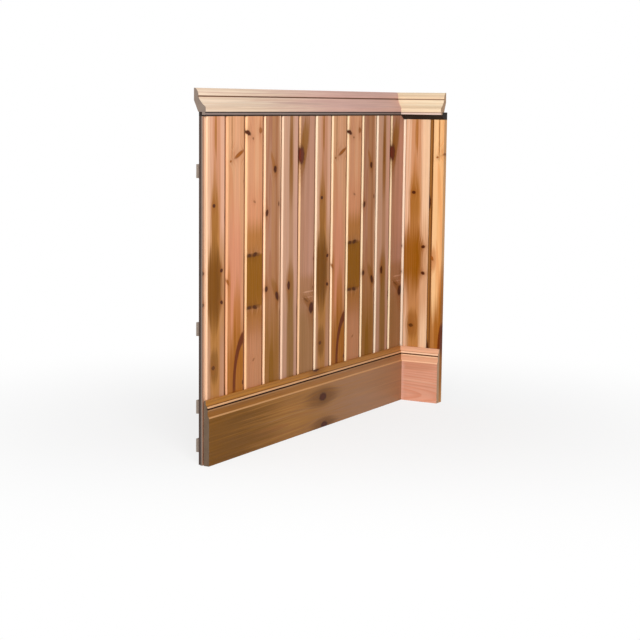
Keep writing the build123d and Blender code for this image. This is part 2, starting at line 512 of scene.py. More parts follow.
def make_finish_group():
    """The clear-finished surface over the wood: late wood is a little glossier and stands proud,
    fibres lie as fine scratches along the grain, and faint planer ripples cross the board."""
    tree, net, start, end = new_group(
        "planed_finish",
        {
            "Place": ZERO, "Late": 0.0, "Fibre": 0.5, "Roughness": 0.5, "Ripple": 0.25,
        },
        ["Roughness", "Height"],
    )
    x, y, z = net.parts(start["Place"])
    worn = net.noise(net.scaled(start["Place"], (0.03, 0.03, 0.012)), 1.0, 2.0)
    rough = net.plus(start["Roughness"], net.times(net.minus(worn, 0.5), 0.16))
    rough = net.minus(rough, net.times(start["Late"], 0.07))
    net.feed(end["Roughness"], net.plus(rough, net.times(start["Fibre"], 0.05), clamp=True))
    ripple = net.times(net.math("SINE", net.times(z, 1.05)), start["Ripple"])
    height = net.plus(net.times(start["Late"], 0.5), net.times(start["Fibre"], 0.9))
    net.feed(end["Height"], net.plus(height, net.times(ripple, 0.2)))
    return tree


RINGS = make_rings_group()
KNOT = make_knot_group()
KNOT_COLOUR = make_knot_colour_group()
WASH = make_wash_group()
BAND = make_band_group()
SPIKE = make_arc_group()
FINISH = make_finish_group()


def run_place(net, run, shift_x=0.0, shift_z=0.0, level=False):
    """Object coordinates turned into run millimetres, shifted by the given amounts. With level the
    stock lies along the run, and its place is given as for a board that stands: across is the
    height, and height is the way along."""
    zero = LONG_ZERO if run == "long" else SHORT_ZERO
    coordinates = net.node("ShaderNodeTexCoord").outputs["Object"]
    if run == "long":
        location = (-zero[0] - shift_x, -zero[1], -shift_z)
        turn = 0.0
    else:
        location = (zero[1] - shift_x, -zero[0], -shift_z)
        turn = math.pi / 2
    values = {
        "Vector": coordinates,
        "Location": location,
        "Rotation": (0.0, 0.0, turn),
        "Scale": (1 / MM, 1 / MM, 1 / MM),
    }
    place = net.node("ShaderNodeMapping", values, vector_type="POINT").outputs[0]
    if not level:
        return place
    x, y, z = net.parts(place)
    return net.vector(z, y, x)


# How far behind its face a board still has its milled lines of painted shade and highlight
LINE_DEPTH = 4.6


def add_bands(net, colour, value, bands):
    """The colour with each band of a list laid over it, by its value in millimetres."""
    for band in bands:
        colour = net.group(BAND, Colour=colour, Value=value, **band)[0]
    return colour


def open_edge(net, place, colour):
    """The first board's bare edge: a grey tip about a millimetre deep on the tongue, and a back
    shoulder darkened by painted shade, whose darkness fades out 6 mm in from the tip."""
    x, y, z = net.parts(place)
    near = net.step(x, 0.5, 1.2, 1.0, 0.0)
    colour = net.group(BAND, Colour=colour, Value=y, Low=4.4, High=11.0, Soft=0.3,
                       Tint=srgb(116, 101, 90), Strength=near)[0]
    # Painted shade on the back shoulder and the back of the tongue's tip.
    near = net.step(x, 5.0, 6.5, 0.95, 0.0)
    return net.group(BAND, Colour=colour, Value=y, Low=8.6, High=30.0, Soft=1.2,
                     Tint=srgb(50, 42, 40), Strength=near)[0]


def wood_material(name, run, wood, shift_x=0.0, shift_z=0.0, level=False, lines=(), bare_edge=False):
    """Knotty pine from one figure: growth rings bent round the knots, strips of paler and darker
    wood, stained patches (on the long rail also a patch of painted shade towards the corner), milled
    lines of painted shade and highlight, curved spikes, the knots themselves, on the first board its
    bare edge with painted shade on the shoulder, and a planed and varnished surface. On boards the
    milled lines are kept to the front."""
    material, net = new_material(name)
    place = run_place(net, run, shift_x, shift_z, level)
    flow = 0.0
    shapes = []
    for knot in wood["knots"]:
        reach, trail, flow = net.group(KNOT, Place=place, Flow=flow, **knot["shape"])
        shapes.append((reach, trail))
    late, fibre, streak, broad = net.group(RINGS, Place=place, Flow=flow, **wood["rings"])
    colour = net.mix(net.times(late, wood.get("late", 0.4)), srgb(*wood["base"]),
                     srgb(*wood["late_tint"]), "MULTIPLY")
    across = net.parts(place)[0]
    wavy = net.times_plus(net.minus(broad, 0.5), 14.0, across)
    wavy = net.times_plus(net.minus(streak, 0.5), 5.0, wavy)
    colour = add_bands(net, colour, wavy, wood["strips"])
    for wash in wood["washes"]:
        colour = net.group(WASH, Colour=colour, Place=place, Streak=streak, **wash)[0]
    # The milled lines of painted shade and highlight, kept to the front on boards.
    front = 1.0 if level else net.step(net.parts(place)[1], LINE_DEPTH, LINE_DEPTH + 1.0, 1.0, 0.0)
    colour = net.mix(front, colour, add_bands(net, colour, across, lines))
    for spike in wood.get("spikes", []):
        colour = net.group(SPIKE, Colour=colour, Place=place, Fibre=fibre, **spike)[0]
    for knot, (reach, trail) in zip(wood["knots"], shapes):
        colour = net.group(KNOT_COLOUR, Colour=colour, Reach=reach, Trail=trail, **knot["colours"])[0]
    if bare_edge:
        colour = open_edge(net, place, colour)
    value = net.times_plus(fibre, 0.20, 0.90)
    value = net.times(value, net.times_plus(streak, 0.36, 0.82))
    value = net.times(value, net.times_plus(broad, 0.20, 0.90))
    shade = net.node("ShaderNodeCombineColor", {0: value, 1: value, 2: value}).outputs[0]
    colour = net.mix(1.0, colour, shade, "MULTIPLY")
    rough, height = net.group(
        FINISH,
        Place=place,
        Late=late,
        Fibre=fibre,
        Roughness=wood.get("rough", 0.5),
    )
    net.surface(colour, rough, 0.13, (0.22, 0.0006, height), ior=1.45)
    return material


# Board figures, in millimetres across from the tongue's tip and up from the floor. A piece that
# lies along its run is given in the same way, with its height for across and its length for up.

def growth(across, depth, lean, spacing, seed):
    """Where the pith of a piece lies, how it leans, how far its rings are apart, and its seed."""
    return {"Pith_Across": across, "Pith_Depth": depth, "Lean": lean, "Spacing": spacing, "Seed": seed}


def strip(tint, start, end, strength=0.8, soft=2.5):
    """A strip of other wood the whole length of a board, between two lines across it."""
    return {"Tint": srgb(*tint), "Low": start, "High": end, "Strength": strength, "Soft": soft}


def line(tint, start, end, strength=1.0, soft=0.35):
    """A milled line: painted shadow in a groove or a painted highlight on an arris, with clean edges."""
    return strip(tint, start, end, strength, soft)


def stain_and_shade(tint, at, half, strength=0.7, lean=0.0, taper=0.35, soft=0.32, fade=0.45):
    """A patch of stained wood round a place, with its half width and half height; the long rail's first
    patch is painted shade.
    """
    return {"Tint": srgb(*tint), "Across": at[0], "Height": at[1], "Half_Width": half[0],
            "Half_Height": half[1], "Lean": lean, "Taper": taper, "Feather": min(12.0, half[0]),
            "Soft": soft, "Fade": fade, "Strength": strength}


def knot(at, size, turn=0.0, core=(96, 42, 4), rim=(68, 28, 0), halo=(150, 84, 26), glow=0.7, strength=1.0):
    """A knot at a place, with its width and height, turned by degrees."""
    shape = {"Across": at[0], "Height": at[1], "Width": size[0], "Tallness": size[1],
             "Turn": math.radians(turn)}
    colours = {"Core": srgb(*core), "Rim": srgb(*rim), "Halo": srgb(*halo), "Halo_Strength": glow,
               "Strength": strength}
    return {"at": at, "size": size, "shape": shape, "colours": colours}


BLACK = {"core": (84, 34, 2), "rim": (56, 18, 0)}
TAN = {"core": (162, 92, 32), "rim": (142, 76, 22)}
OLIVE = {"core": (84, 40, 0), "rim": (76, 36, 0), "halo": (112, 62, 0)}
RED = {"core": (104, 42, 22), "rim": (80, 32, 16), "halo": (132, 78, 14), "glow": 0.85}

FIGURE_ONE = {
    "base": (222, 170, 140),
    "late_tint": (232, 190, 158),
    "rings": growth(48.0, 26.0, 0.016, 4.6, 1.0),
    "strips": [
        strip((230, 184, 146), 14, 24, 0.8),
        strip((206, 142, 106), 38, 70, 0.85, 3.5),
        strip((226, 174, 146), 78, 92, 0.7),
    ],
    "washes": [
        stain_and_shade((176, 124, 88), (50, 260), (70, 150), 0.75, taper=0.0, fade=0.5),
        stain_and_shade((186, 130, 72), (50, 430), (70, 110), 0.7, taper=0.0, fade=0.5),
        stain_and_shade((180, 120, 44), (49, 390), (20, 270), 0.75, fade=0.3, taper=0.1),
        stain_and_shade((168, 108, 50), (50, 800), (5, 55), 0.9),
        stain_and_shade((178, 116, 62), (47, 700), (3.5, 50), 0.5),
        stain_and_shade((158, 100, 34), (46, 600), (15, 70), 0.75, fade=0.6),
        stain_and_shade((120, 70, 0), (45, 430), (33, 100), 1.0, fade=0.55, taper=0.5),
        stain_and_shade((130, 82, 24), (46, 238), (17, 40), 0.75),
    ],
    "knots": [
        knot((43, 627), (13, 10), **BLACK),
        knot((77, 469), (13, 10), 15, **BLACK),
        knot((77, 391), (13, 10), -20, **BLACK),
        knot((1, 468), (9, 10), **BLACK),
        knot((1, 391), (9, 10), **BLACK),
        knot((41, 234), (14, 11), core=(104, 58, 14), rim=(84, 44, 10)),
    ],
}

FIGURE_TWO = {
    "base": (220, 162, 120),
    "late_tint": (232, 184, 144),
    "rings": growth(30.0, 34.0, 0.02, 5.4, 2.0),
    "strips": [
        strip((238, 182, 132), 14, 19, 0.9, 1.5),
        strip((226, 168, 130), 48, 70, 0.6, 5.0),
    ],
    "washes": [
        stain_and_shade((214, 136, 104), (48, 440), (34, 170), 0.7, fade=0.6),
        stain_and_shade((190, 118, 62), (18, 300), (14, 170), 0.75, fade=0.5),
        stain_and_shade((150, 92, 40), (34.5, 800), (1.8, 70), 0.9),
        stain_and_shade((196, 122, 66), (20, 432), (10, 34), 0.6),
        stain_and_shade((186, 114, 48), (60, 320), (18, 100), 0.85, fade=0.6),
        stain_and_shade((166, 98, 14), (72, 180), (34, 140), 0.95, taper=0.1),
        stain_and_shade((164, 98, 26), (30, 190), (26, 100), 0.9, taper=0.1, fade=0.6),
    ],
    "spikes": [
        {"Tint": srgb(108, 46, 2), "Across": 99, "Height": 172, "Half_Width": 52, "Half_Height": 124,
         "Thickness": 0.15},
    ],
    "knots": [
        knot((67, 747), (48, 11), 24, glow=0.3, **TAN),
        knot((29, 731), (7, 6), glow=0.3, **TAN),
        knot((91, 682), (6, 10), glow=0.3, strength=0.7),
        knot((18, 437), (8, 17), 26, glow=0.4, **TAN),
        knot((5, 600), (9, 44), glow=0.2, **BLACK),
        knot((5, 172), (9, 44), glow=0.2, **BLACK),
        knot((88, 180), (8, 12), glow=0.4),
    ],
}

FIGURE_THREE = {
    "base": (224, 162, 120),
    "late_tint": (230, 182, 144),
    "rings": growth(62.0, 30.0, -0.02, 5.0, 3.0),
    "strips": [
        strip((252, 202, 156), 13, 21, 0.6, 2.0),
        strip((214, 150, 114), 28, 46, 0.5, 4.0),
        strip((232, 176, 134), 56, 70, 0.5, 4.0),
    ],
    "washes": [
        stain_and_shade((216, 142, 100), (52, 600), (44, 60), 0.6, taper=0.0, fade=0.8),
        stain_and_shade((176, 112, 44), (54, 528), (46, 42), 0.85, taper=0.0, fade=0.7),
        stain_and_shade((146, 90, 0), (56, 430), (50, 66), 1.0, taper=0.0, soft=0.1, fade=0.06),
        stain_and_shade((160, 98, 24), (54, 326), (46, 44), 0.9, taper=0.0, fade=0.6),
        stain_and_shade((186, 124, 84), (54, 220), (46, 100), 0.8, taper=0.0),
        stain_and_shade((108, 60, 8), (46, 495), (32, 4.5), 0.7, taper=0.0),
        stain_and_shade((108, 60, 8), (46, 364), (32, 4.5), 0.7, taper=0.0),
    ],
    "knots": [
        knot((21, 799), (25, 12), -22, glow=0.4, **BLACK),
        knot((79, 804), (15, 16), glow=0.3, strength=0.8, **TAN),
        knot((44, 785), (7, 6), strength=0.6, glow=0.3),
        knot((52, 628), (12, 6), -20, strength=0.45, glow=0.2),
        knot((29, 495), (18, 9), glow=0.5, **OLIVE),
        knot((55, 496), (22, 11), 14, glow=0.5, **OLIVE),
        knot((29, 364), (18, 8), glow=0.5, **OLIVE),
        knot((55, 363), (22, 10), -14, glow=0.5, **OLIVE),
        knot((51, 230), (13, 6), 30, strength=0.4, glow=0.2),
    ],
}

FIGURE_FOUR = {
    "base": (184, 132, 102),
    "late_tint": (228, 182, 148),
    "rings": growth(40.0, 22.0, 0.022, 4.2, 4.0),
    "strips": [
        strip((184, 128, 84), 46, 62, 0.8, 4.0),
        strip((168, 110, 66), 64, 76, 0.8, 3.0),
        strip((192, 138, 98), 78, 85, 0.7, 2.0),
        strip((255, 210, 172), 86, 93, 0.85, 1.0),
    ],
    "washes": [
        stain_and_shade((174, 116, 66), (46, 330), (40, 120), 0.5, fade=0.6, taper=0.0),
        stain_and_shade((150, 98, 34), (52, 190), (42, 140), 0.85, fade=0.7, taper=0.0),
        stain_and_shade((138, 88, 8), (50, 180), (12, 80), 0.85),
        stain_and_shade((164, 100, 38), (54, 722), (7, 26), 0.7, -0.4),
        stain_and_shade((150, 96, 34), (68, 396), (13, 28), 0.7, -0.5),
    ],
    "knots": [
        knot((63, 706), (15, 18), **BLACK),
        knot((24, 597), (13, 18), -20, **BLACK),
        knot((82, 617), (6, 13), glow=0.3, strength=0.8),
        knot((23, 403), (14, 16), **BLACK),
        knot((76, 381), (15, 26), 24, **BLACK),
        knot((91, 337), (6, 13), glow=0.3, strength=0.7),
    ],
}

FIGURE_FIVE = {
    "base": (210, 164, 136),
    "late_tint": (230, 186, 154),
    "rings": growth(54.0, 16.0, 0.010, 5.0, 5.0),
    "strips": [
        strip((236, 192, 160), 13, 17, 0.8, 1.5),
        strip((206, 160, 134), 36, 46, 0.6, 3.0),
        strip((176, 124, 84), 48, 66, 0.65, 4.0),
        strip((220, 168, 148), 72, 92, 0.6),
    ],
    "washes": [
        stain_and_shade((182, 136, 110), (40, 180), (60, 160), 0.65, taper=0.0, fade=0.6),
        stain_and_shade((150, 98, 44), (55, 730), (10, 120), 0.9, fade=0.6),
        stain_and_shade((134, 82, 22), (54, 742), (4, 50), 0.75),
        stain_and_shade((150, 100, 44), (54, 400), (19, 56), 0.8, fade=0.6),
        stain_and_shade((146, 102, 46), (57, 250), (18, 150), 0.88, taper=0.1),
    ],
    "knots": [
        knot((47, 402), (15, 24), **BLACK),
        knot((90, 330), (5, 34), core=(104, 42, 24), rim=(92, 36, 22), glow=0.3),
        knot((3, 330), (8, 30), core=(150, 110, 90), rim=(130, 90, 70), glow=0.3),
    ],
}

FIGURE_SIX = {
    "base": (196, 146, 120),
    "late_tint": (228, 182, 150),
    "rings": growth(34.0, 24.0, -0.018, 4.8, 6.0),
    "strips": [
        strip((184, 132, 100), 18, 40, 0.5, 5.0),
        strip((206, 154, 132), 60, 84, 0.4, 5.0),
    ],
    "washes": [
        stain_and_shade((152, 98, 26), (34, 764), (20, 66), 0.85, 0.22, fade=0.7),
        stain_and_shade((172, 118, 76), (56, 384), (46, 34), 0.7, taper=0.0),
        stain_and_shade((158, 112, 64), (54, 220), (56, 130), 0.85, taper=0.0),
        stain_and_shade((222, 172, 138), (70, 376), (32, 1.8), 0.7),
        stain_and_shade((218, 166, 132), (62, 361), (30, 1.6), 0.6),
        stain_and_shade((140, 88, 36), (62, 346), (16, 18), 0.75, -0.9),
    ],
    "knots": [
        knot((20, 738), (30, 50), **RED),
        knot((90, 463), (8, 9), core=(120, 62, 40), rim=(108, 54, 36), glow=0.3),
        knot((89, 386), (8, 9), core=(120, 62, 40), rim=(108, 54, 36), glow=0.3),
        knot((79, 331), (26, 32), -20, **BLACK),
        knot((50, 355), (30, 6), -28, strength=0.5, glow=0.3),
    ],
}

FIGURES = [FIGURE_ONE, FIGURE_TWO, FIGURE_THREE, FIGURE_FOUR, FIGURE_FIVE, FIGURE_SIX]

# The short run's boards have the first two figures as paler copies, painted as lit for the run that faces
# the lamps, with some strips and stains of their own
FIGURE_ONE_SHORT = {
    **FIGURE_ONE,
    "base": (226, 186, 154),
    "strips": [strip((200, 140, 96), 32, 64, 0.85, 4.0), strip((236, 198, 158), 70, 92, 0.6)],
    "washes": FIGURE_ONE["washes"][2:6] + [
        stain_and_shade((196, 138, 94), (50, 400), (50, 130), 0.6, taper=0.0, fade=0.5),
        stain_and_shade((144, 84, 0), (42, 434), (34, 90), 0.97, fade=0.6),
        stain_and_shade((150, 92, 34), (46, 238), (17, 40), 0.7),
    ],
}
FIGURE_TWO_SHORT = {
    **FIGURE_TWO,
    "base": (236, 184, 126),
    "strips": [strip((242, 198, 146), 17, 30, 0.8), strip((224, 162, 104), 44, 70, 0.5, 5.0)],
    "washes": FIGURE_TWO["washes"][2:],
}
SHORT_FIGURES = [FIGURE_ONE_SHORT, FIGURE_TWO_SHORT]

# Milled lines of the boards, across from the tongue's tip: painted shadow on the tongue in the joint
# and a painted highlight on the bevel, which has a tint for each board of the long run.
SHADOW = (104, 62, 34)
BEVEL_HIGHLIGHTS = [
    (220, 177, 144), (228, 168, 126), (246, 194, 146), (255, 206, 166), (240, 202, 172), (238, 192, 148),
    (255, 224, 190), (255, 220, 180), (255, 224, 181), (255, 224, 183), (255, 231, 202), (255, 227, 185),
]
JOINT_SHADOW = line(SHADOW, 3.0, 11.9, 0.85)
BEVEL_LINES = [[JOINT_SHADOW, line(tint, 12.3, 16.2, 1.0, 0.4)] for tint in BEVEL_HIGHLIGHTS]
# The first board's bare tongue: a brown line near its tip, then the first board's painted bevel highlight
# across the rest of the tongue and the bevel.
BARE_EDGE_LINES = [line((128, 80, 56), 0.6, 4.2, 0.9), line((220, 177, 144), 4.6, 16.0)]
# Short run: a painted highlight across the corner board's tongue and painted shade on its bevel, and
# painted shade in the second board's open joint.
CORNER_LINES = [line((255, 232, 206), 3.0, 11.9), line((132, 92, 64), 12.4, 15.2, 0.9)]
OPEN_JOINT_LINES = [
    line((150, 100, 46), 3.0, 17.0),
    line((104, 58, 20), 3.0, 5.0, 0.8),
    line((104, 58, 20), 10.6, 15.6, 0.8),
]
SHORT_LINES = [CORNER_LINES, OPEN_JOINT_LINES]

RAIL_WOOD = {
    "base": (232, 208, 184),
    "late_tint": (234, 212, 192),
    "late": 0.35,
    "rings": growth(880.0, 40.0, 0.004, 6.0, 7.0),
    "strips": [
        strip((206, 172, 154), 895.0, 897.4, 0.8, 0.9),
        strip((212, 182, 156), 857.5, 861.5, 0.6, 1.2),
    ],
    "washes": [
        # Painted shade: the rail darker and mauve towards the corner, where the light falls off.
        stain_and_shade((226, 178, 166), (876, 900), (80, 480), 0.85, taper=0.0, fade=0.5),
        stain_and_shade((214, 176, 154), (879, 330), (2.4, 130), 0.6, 0.02),
        stain_and_shade((206, 166, 152), (871, 470), (3.0, 140), 0.6, -0.012),
    ],
    "knots": [],
}
# Painted shade in the groove and the quirk, and a grey painted shade on the lip below the quirk.
RAIL_LINES = [
    line((128, 88, 64), 884.9, 888.4),
    line((52, 40, 40), 847.4, 850.3),
    line((136, 120, 114), 842.0, 847.4),
]
# The short run's rail: a slightly paler copy without the painted shade towards the corner.
RAIL_WOOD_SHORT = {
    **RAIL_WOOD,
    "base": (238, 216, 184),
    "strips": [
        strip((206, 178, 148), 893.0, 898.0, 0.6, 1.5),
        strip((226, 202, 170), 857.5, 861.5, 0.4, 1.2),
    ],
    "washes": [],
}
# The same lines on the short run, lighter: the painted shade as it falls on the run that faces the lamps.
RAIL_LINES_SHORT = [
    line((160, 128, 100), 884.9, 888.4),
    line((176, 144, 126), 847.4, 850.3),
    line((222, 200, 188), 842.0, 847.4),
]

SKIRTING_WOOD = {
    "base": (174, 122, 58),
    "late_tint": (222, 184, 140),
    "late": 0.5,
    "rings": growth(40.0, 44.0, 0.012, 6.4, 8.0),
    "strips": [
        strip((188, 146, 96), 61.5, 64.5, 0.5, 1.6),
        strip((134, 88, 40), 92, 104, 0.35, 4.0),
        strip((132, 90, 44), 20, 38, 0.35, 5.0),
    ],
    "washes": [
        stain_and_shade((116, 72, 0), (60, 20), (90, 280), 0.95, taper=0.0, fade=0.7),
        stain_and_shade((156, 106, 52), (60, 600), (90, 200), 0.6, taper=0.0, fade=0.7),
        stain_and_shade((178, 134, 104), (60, 950), (90, 330), 0.75, taper=0.0, fade=0.7),
        stain_and_shade((116, 72, 20), (84, 556), (24, 80), 0.6, fade=0.6),
        stain_and_shade((110, 66, 18), (10, 570), (16, 60), 0.6, fade=0.6),
        stain_and_shade((108, 62, 16), (150, 545), (14, 44), 0.6),
    ],
    "knots": [
        knot((84, 562), (22, 40), halo=(108, 64, 18), glow=0.7, **BLACK),
        knot((6, 570), (18, 36), halo=(108, 64, 18), glow=0.6, **BLACK),
        knot((162, 540), (14, 34), halo=(108, 64, 18), glow=0.7, **BLACK),
    ],
    "rough": 0.46,
}
# Painted highlights on the beads, painted shade in the cove, the groove and the quirk, and a tint over the
# cap.
SKIRTING_LINES = [
    line((222, 166, 112), 116.6, 120.6, 0.65),
    line((162, 104, 50), 121.0, 133.6, 0.45),
    line((168, 122, 80), 134.0, 137.4, 0.85),
    line((50, 20, 2), 137.6, 141.2),
    line((220, 168, 122), 141.4, 145.6),
    line((112, 66, 10), 146.0, 147.2, 0.9),
    line((188, 122, 48), 147.4, 160.5, 0.45),
]
SKIRTING_WOOD_SHORT = {
    "base": (218, 160, 134),
    "late_tint": (232, 188, 156),
    "rings": growth(20.0, 30.0, 0.10, 7.0, 9.0),
    "strips": [],
    "washes": [
        stain_and_shade((204, 142, 110), (104, 60), (14, 60), 0.5),
        stain_and_shade((230, 178, 150), (62, 60), (4, 70), 0.5, -0.05),
        stain_and_shade((226, 178, 158), (50, 8), (70, 14), 0.6, taper=0.0),
    ],
    "knots": [],
    "rough": 0.46,
}
# The same lines on the short run, lighter: the painted highlights and shade as they fall on the run that
# faces the lamps.
SKIRTING_LINES_SHORT = [
    line((246, 196, 158), 116.6, 120.6),
    line((222, 168, 132), 121.0, 133.6, 0.8),
    line((246, 200, 160), 134.0, 137.8),
    line((100, 56, 32), 137.6, 141.3),
    line((250, 208, 172), 141.2, 145.6),
    line((200, 146, 108), 146.0, 147.2, 0.8),
    line((236, 184, 146), 147.4, 160.5, 0.7),
]

BATTEN_WOOD = {
    "base": (134, 122, 112),
    "late_tint": (220, 200, 184),
    "rings": growth(20.0, 18.0, 0.02, 3.6, 10.0),
    "strips": [],
    "washes": [],
    "knots": [],
    "rough": 0.8,
}


def end_grain_material(name, light, dark):
    """Sawn end of a length of pine: arcs of growth rings about a pith below the piece, crossed by
    fine saw marks, greyed where it has been handled."""
    material, net = new_material(name)
    coordinates = net.node("ShaderNodeTexCoord").outputs["Object"]
    x, y, z = net.parts(net.scaled(coordinates, (1 / MM, 1 / MM, 1 / MM)))
    flat = net.plus(x, y)
    radius = net.length(net.minus(flat, 300.0), net.plus(net.times(z, 0.35), 120.0))
    ring = net.math("FRACT", net.over(radius, 2.6))
    late = net.times(net.step(ring, 0.2, 0.85), net.step(ring, 0.92, 1.0, 1.0, 0.0))
    grime = net.noise(net.scaled(coordinates, (90.0, 90.0, 60.0)), 1.0, 4.0, 0.6)
    saw = net.noise(net.vector(net.times(flat, 0.25), net.times(z, 2.2)), 1.0, 2.0)
    mixed = net.plus(net.times(late, 0.45), net.times(grime, 0.5), clamp=True)
    colour = net.mix(mixed, srgb(*light), srgb(*dark))
    height = net.plus(net.times(saw, 0.8), net.times(late, 0.4))
    net.surface(colour, net.times_plus(grime, 0.2, 0.62), 0.25, (0.35, 0.0005, height))
    return material


def dark_strip_material():
    """Bed strip coloured nearly black as painted shade under the rail, with faint fibres along the run."""
    material, net = new_material("black_painted_shade_strip")
    coordinates = net.node("ShaderNodeTexCoord").outputs["Object"]
    fibre = net.noise(net.scaled(coordinates, (18.0, 18.0, 700.0)), 1.0, 4.0, 0.6)
    dust = net.noise(coordinates, 160.0, 3.0, 0.6)
    colour = net.mix(fibre, srgb(24, 19, 17), srgb(48, 38, 32))
    colour = net.mix(net.step(dust, 0.62, 0.85, 0.0, 0.25), colour, srgb(96, 84, 74))
    net.surface(colour, net.times_plus(fibre, 0.2, 0.6), 0.2, (0.3, 0.0004, fibre))
    return material


END_GREY = end_grain_material("sawn_end_grey", (136, 120, 108), (94, 82, 74))
END_BROWN = end_grain_material("sawn_end_brown", (112, 92, 74), (70, 54, 40))
END_PINE = end_grain_material("sawn_end_pine", (214, 178, 146), (168, 128, 92))
DARK_STRIP = dark_strip_material()


# Boards

def board_outline(right_cut=None):
    """One board's section, as in the CAD model, with every arris eased by the plane."""
    lip = COVER + LIP_LAP
    bottom = COVER - END_CLEARANCE
    back = COVER + SHOULDER_REACH - BACK_JOINT
    front = TONGUE_FRONT - JOINT_CLEARANCE
    rear = TONGUE_BACK + JOINT_CLEARANCE
    outline = path(
        (TONGUE_EASE, TONGUE_FRONT),
        (0, TONGUE_FRONT + TONGUE_EASE),
        (0, TONGUE_BACK - TONGUE_EASE),
        (TONGUE_EASE, TONGUE_BACK),
        (SHOULDER_REACH, TONGUE_BACK),
        (SHOULDER_REACH, BOARD_THICKNESS),
        (back, BOARD_THICKNESS),
        (back, rear),
        (bottom, rear),
        (bottom, front),
        (lip, front),
        (lip, BEVEL),
        (lip - BEVEL, 0),
        (TONGUE_REACH + BEVEL, 0),
        (TONGUE_REACH, BEVEL),
        (TONGUE_REACH, TONGUE_FRONT),
    )
    if right_cut is not None:
        outline = np.array([(min(x, right_cut), y) for x, y in outline])
        keep = [i for i in range(len(outline)) if np.linalg.norm(outline[i] - outline[i - 1]) > 0.01]
        outline = outline[keep]
    return divided(eased(outline, 0.45), 4.0)


def board(name, run, first, end, top, materials, cut=None, dents=()):
    """A board standing on the floor: its outline carried up from z = 0 to top in rows. The face is
    pushed in by 0.25 mm * exp(-r^2) round each knot, and gently waves by 0.06 mm."""
    outline = board_outline(None if cut is None else cut - first)
    rows = np.linspace(0, top, int(top / 6) + 1)
    grid = np.empty((len(rows), len(outline), 3))
    grid[..., 0] = outline[None, :, 0]
    grid[..., 1] = outline[None, :, 1]
    grid[..., 2] = rows[:, None]
    face = np.clip(1 - grid[..., 1] / 3.0, 0, 1)
    x, z = grid[..., 0], grid[..., 2]
    push = 0.06 * np.sin(x * 0.11 + first * 0.37) * np.sin(z * 0.013 + first)
    for (across, height), (wide, tall) in dents:
        r2 = ((x - across) / wide) ** 2 + ((z - height) / tall) ** 2
        push += 0.25 * np.exp(-r2)
    grid[..., 1] += face * np.clip(push, 0, 0.3)
    grid[..., 0] += first
    return closed_mesh(name, grid, run, materials)


def make_boards(run, count, first_tip, top, lowers, figures, lines, prefix, end=None):
    """Boards side by side. The figures come round again after the last of them, and lie lower on
    each board by the value given for its round."""
    for i in range(count):
        figure = figures[i % len(figures)]
        first = first_tip + i * COVER
        lower = lowers[i // len(figures)]
        bare_edge = run == "long" and i == 0
        # Lines of painted shadow in the joint and painted highlight on the bevel; the first board has its
        # own.
        milled = BARE_EDGE_LINES if bare_edge else lines[i % len(lines)]
        material = wood_material(
            f"pine_{run}_{i + 1:02d}", run, figure, first, -lower, lines=milled, bare_edge=bare_edge
        )
        dents = [((k["at"][0], k["at"][1] - lower), k["size"]) for k in figure["knots"]]
        name = f"{prefix}_{i + 1:02d}"
        last = end if i == count - 1 else None
        piece = board(f"pine_{name}", run, first, end, top, [material, END_PINE], last, dents)
        settle(piece, name)


LONG_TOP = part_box("board_left_01")[1][2] / MM
SHORT_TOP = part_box("board_right_01")[1][2] / MM
make_boards("long", LONG_COUNT, 0.0, LONG_TOP, (0.0, 4.5), FIGURES, BEVEL_LINES,
            "board_left", CORNER + TONGUE_FRONT)
make_boards("short", SHORT_COUNT, SHORT_FIRST_TIP, SHORT_TOP, (10.0,), SHORT_FIGURES, SHORT_LINES,
            "board_right", SHORT_LENGTH)


# Dado rail, skirting, bed strips and battens

def moulding(name, run, outline, start, end, materials, start_mitre=0.0, end_mitre=0.0):
    """A section, given as (out from the board faces, height), carried along its run. Each point's
    line runs from start + start_mitre * out to end + end_mitre * out, so the ends are mitred."""
    ends = np.stack((start + start_mitre * outline[:, 0], end + end_mitre * outline[:, 0]))
    rows = max(2, int((end - start) / 12))
    t = np.linspace(0, 1, rows)[:, None]
    grid = np.empty((rows, len(outline), 3))
    grid[..., 0] = ends[0] + (ends[1] - ends[0]) * t
    grid[..., 1] = -outline[None, :, 0]
    grid[..., 2] = outline[None, :, 1]
    return closed_mesh(name, grid, run, materials)


def rail_section(back):
    """Dado rail: rounded top, groove, cove, fascia, quirk and lip, as in the CAD model."""
    neck, neck_top, groove_top, cove_top = 12.5, TOP - 12.5, TOP - 18.1, TOP - 20.7
    cove_foot, fascia_top, seat, foot = TOP - 44.2, TOP - 44.6, TOP - 56.0, TOP - 63.0
    depth, lip_back, lip_front = 33.4, 23.0, 32.4
    outline = path(
        (0, TOP - 28.6),
        (0, TOP),
        (4.5, TOP),
        arc((4.5, TOP), (neck, neck_top), 0.8),
        (neck, groove_top),
        (neck - 1.8, groove_top),
        (neck - 1.8, cove_top),
        (neck, cove_top),
        arc((neck, cove_top), (33.0, cove_foot), -2.0, 12),
        (depth, fascia_top),
        (depth, seat),
        (depth - 2.0, seat),
        (depth - 2.0, seat - 2.2),
        (lip_front, seat - 2.2),
        (lip_front, foot + 1.2),
        (lip_front - 1.2, foot),
        (lip_back, foot),
        (lip_back, seat),
        (12.0, seat),
    ) - np.array((back, 0))
    return eased(outline, 0.4)


